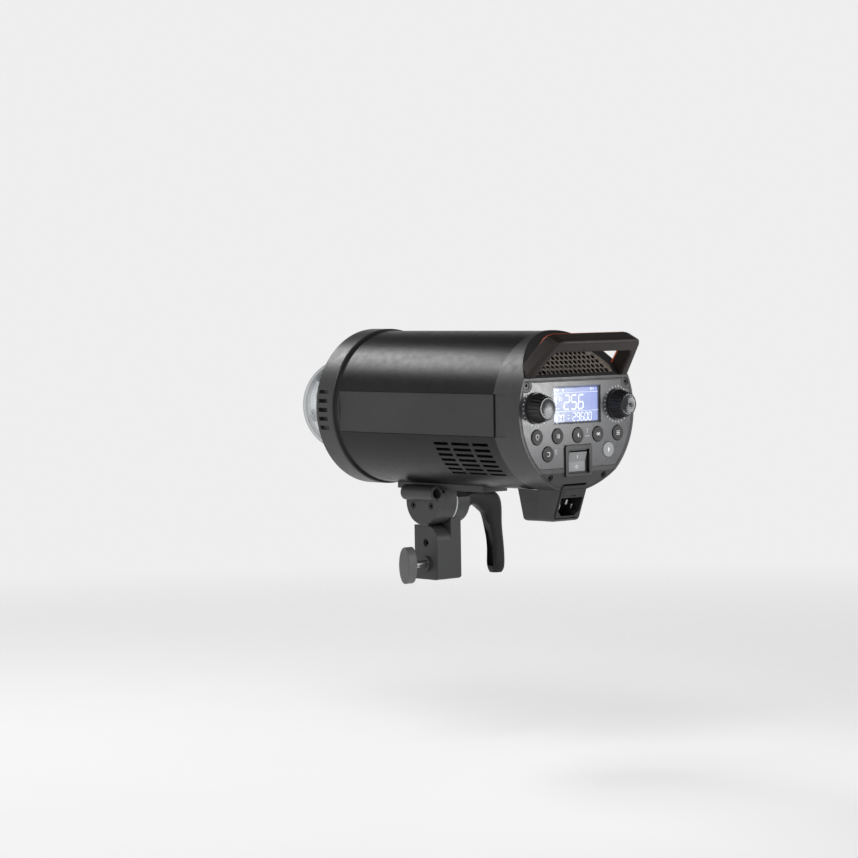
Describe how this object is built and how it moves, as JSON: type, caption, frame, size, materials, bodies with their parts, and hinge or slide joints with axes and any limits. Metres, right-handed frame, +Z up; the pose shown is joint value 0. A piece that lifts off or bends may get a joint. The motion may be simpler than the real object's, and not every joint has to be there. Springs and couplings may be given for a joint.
{
  "type": "monolight strobe",
  "caption": "Cylindrical studio flash head with a rear control panel, top handle, clear front dome and tilting stand bracket.",
  "frame": {"origin": "centre of the stand socket's mouth, on the underside of the stand yoke", "axes": "+Z up the stand socket, +Y towards the operator (control panel side), the light leaves along -Y, +X the operator's left"},
  "size_m": [0.1405, 0.3491, 0.2144],
  "materials": {
    "tube": "satin black",
    "strip": "fine matt grey-black",
    "collar": "satin dark grey",
    "bayonet": "machined",
    "black_screw": "black oxide",
    "slide_plastic": "satin",
    "dome_glass": "clear",
    "clip_steel": "sprung",
    "reflector": "white enamel",
    "carrier": "white enamel",
    "lens": "clear",
    "tube_glass": "frosted",
    "ceramic": "white",
    "sink": "extruded",
    "capacitor": "sleeved",
    "fan_plastic": "moulded",
    "board": "printed circuit",
    "housing": "fine grain",
    "mesh": "satin",
    "grip": "soft",
    "accent": "soft",
    "panel": "fine grain",
    "overlay": "satin grey",
    "bezel": "satin",
    "rocker": "grey",
    "lcd_window": "clear",
    "lcd": "backlit",
    "encoder": "plated",
    "inlet": "moulded",
    "pin_metal": "plated",
    "fuse": "clear",
    "cast": "satin casting",
    "shaft_steel": "plated",
    "ring": "light grey",
    "knob_plastic": "satin",
    "pad": "turned",
    "lever": "satin",
    "dial": "fluted",
    "dial_cap": "spun",
    "test_button": "translucent grey",
    "button": "silicone"
  },
  "bodies": {
    "stand": {"stand_yoke": "cast", "friction_ring": "ring", "tilt_washer": "shaft_steel", "set_screw": "black_screw"},
    "clamp_knob": {"clamp_knob": "knob_plastic", "clamp_screw": "shaft_steel"},
    "clamp_pad": {"clamp_pad": "pad"},
    "clamp_lever": {"clamp_lever": "lever", "lever_nut": "shaft_steel"},
    "head": {"main_tube": "tube", "side_strips": "strip", "front_collar": "collar", "bayonet_ring": "bayonet", "casing_screws": "black_screw", "dome_clips": "clip_steel", "lamp_plate": "reflector", "led_carrier": "carrier", "led_lenses": "lens", "flash_tube": "tube_glass", "tube_socket": "ceramic", "heat_sink": "sink", "flash_capacitors": "capacitor", "fan_frame": "fan_plastic", "charger_board": "board", "rear_housing": "housing", "vent_mesh": "mesh", "handle_grip": "grip", "handle_accent": "accent", "rear_panel": "panel", "panel_overlay": "overlay", "switch_bezel": "bezel", "power_switch": "bezel", "lcd_window": "lcd_window", "lcd_module": "lcd", "control_board": "board", "encoders": "encoder", "inlet_housing": "housing", "inlet_socket": "inlet", "inlet_pins": "pin_metal", "bracket_foot": "cast", "umbrella_holder": "cast", "bracket_screws": "black_screw", "tilt_bolt": "shaft_steel"},
    "release_slide": {"release_slide": "slide_plastic"},
    "glass_dome": {"glass_dome": "dome_glass"},
    "fan_rotor": {"fan_rotor": "fan_plastic"},
    "knob_left": {"knob_left": "dial", "knob_cap_left": "dial_cap"},
    "knob_right": {"knob_right": "dial", "knob_cap_right": "dial_cap"},
    "rocker": {"rocker": "rocker"},
    "fuse_drawer": {"fuse_drawer": "inlet", "fuses": "fuse"},
    "button_lamp": {"button_lamp": "button"},
    "button_sound": {"button_sound": "button"},
    "button_slave": {"button_slave": "button"},
    "button_wireless": {"button_wireless": "button"},
    "button_menu": {"button_menu": "button"},
    "button_mode": {"button_mode": "button"},
    "button_test": {"button_test": "test_button"}
  },
  "joints": [
    {"name": "tilt", "type": "hinge", "parent": "stand", "child": "head", "pos_m": [0, 0, 0.0666], "axis": [1, 0, 0], "range_deg": [-35, 60]},
    {"name": "clamp_knob_turn", "type": "hinge", "parent": "stand", "child": "clamp_knob", "pos_m": [0.03, 0, 0.0134], "axis": [1, 0, 0], "range_deg": [0, 180]},
    {"name": "clamp_pad_slide", "type": "slide", "parent": "stand", "child": "clamp_pad", "axis": [-1, 0, 0], "range_m": [0, 0.00065]},
    {"name": "lever_turn", "type": "hinge", "parent": "stand", "child": "clamp_lever", "pos_m": [0, 0, 0.0666], "axis": [1, 0, 0], "range_deg": [0, 90]},
    {"name": "knob_left_turn", "type": "hinge", "parent": "head", "child": "knob_left", "pos_m": [0.046, 0.1685, 0.1498], "axis": [0, 1, 0], "continuous": true},
    {"name": "knob_right_turn", "type": "hinge", "parent": "head", "child": "knob_right", "pos_m": [-0.046, 0.1685, 0.1498], "axis": [0, 1, 0], "continuous": true},
    {"name": "rocker_tip", "type": "hinge", "parent": "head", "child": "rocker", "pos_m": [0, 0.1645, 0.1052], "axis": [1, 0, 0], "range_deg": [0, 14]},
    {"name": "fuse_drawer_slide", "type": "slide", "parent": "head", "child": "fuse_drawer", "axis": [0, 0.9336, -0.3584], "range_m": [0, 0.018]},
    {"name": "glass_dome_slide", "type": "slide", "parent": "head", "child": "glass_dome", "axis": [0, -1, 0], "range_m": [0, 0.06]},
    {"name": "fan_spin", "type": "hinge", "parent": "head", "child": "fan_rotor", "pos_m": [0, 0.0825, 0.1456], "axis": [0, 1, 0], "continuous": true},
    {"name": "release_slide_travel", "type": "slide", "parent": "head", "child": "release_slide", "axis": [0, 1, 0], "range_m": [0, 0.004], "stiffness_N_per_m": 300},
    {"name": "button_lamp_press", "type": "slide", "parent": "head", "child": "button_lamp", "axis": [0, -1, 0], "range_m": [0, 0.0008], "stiffness_N_per_m": 500},
    {"name": "button_sound_press", "type": "slide", "parent": "head", "child": "button_sound", "axis": [0, -1, 0], "range_m": [0, 0.0008], "stiffness_N_per_m": 500},
    {"name": "button_slave_press", "type": "slide", "parent": "head", "child": "button_slave", "axis": [0, -1, 0], "range_m": [0, 0.0008], "stiffness_N_per_m": 500},
    {"name": "button_wireless_press", "type": "slide", "parent": "head", "child": "button_wireless", "axis": [0, -1, 0], "range_m": [0, 0.0008], "stiffness_N_per_m": 500},
    {"name": "button_menu_press", "type": "slide", "parent": "head", "child": "button_menu", "axis": [0, -1, 0], "range_m": [0, 0.0008], "stiffness_N_per_m": 500},
    {"name": "button_mode_press", "type": "slide", "parent": "head", "child": "button_mode", "axis": [0, -1, 0], "range_m": [0, 0.0008], "stiffness_N_per_m": 500},
    {"name": "button_test_press", "type": "slide", "parent": "head", "child": "button_test", "axis": [0, -1, 0], "range_m": [0, 0.0008], "stiffness_N_per_m": 500}
  ],
  "couplings": [
    {"joint": "clamp_pad_slide", "follows": "clamp_knob_turn", "m_per_rad": 0.0002}
  ]
}
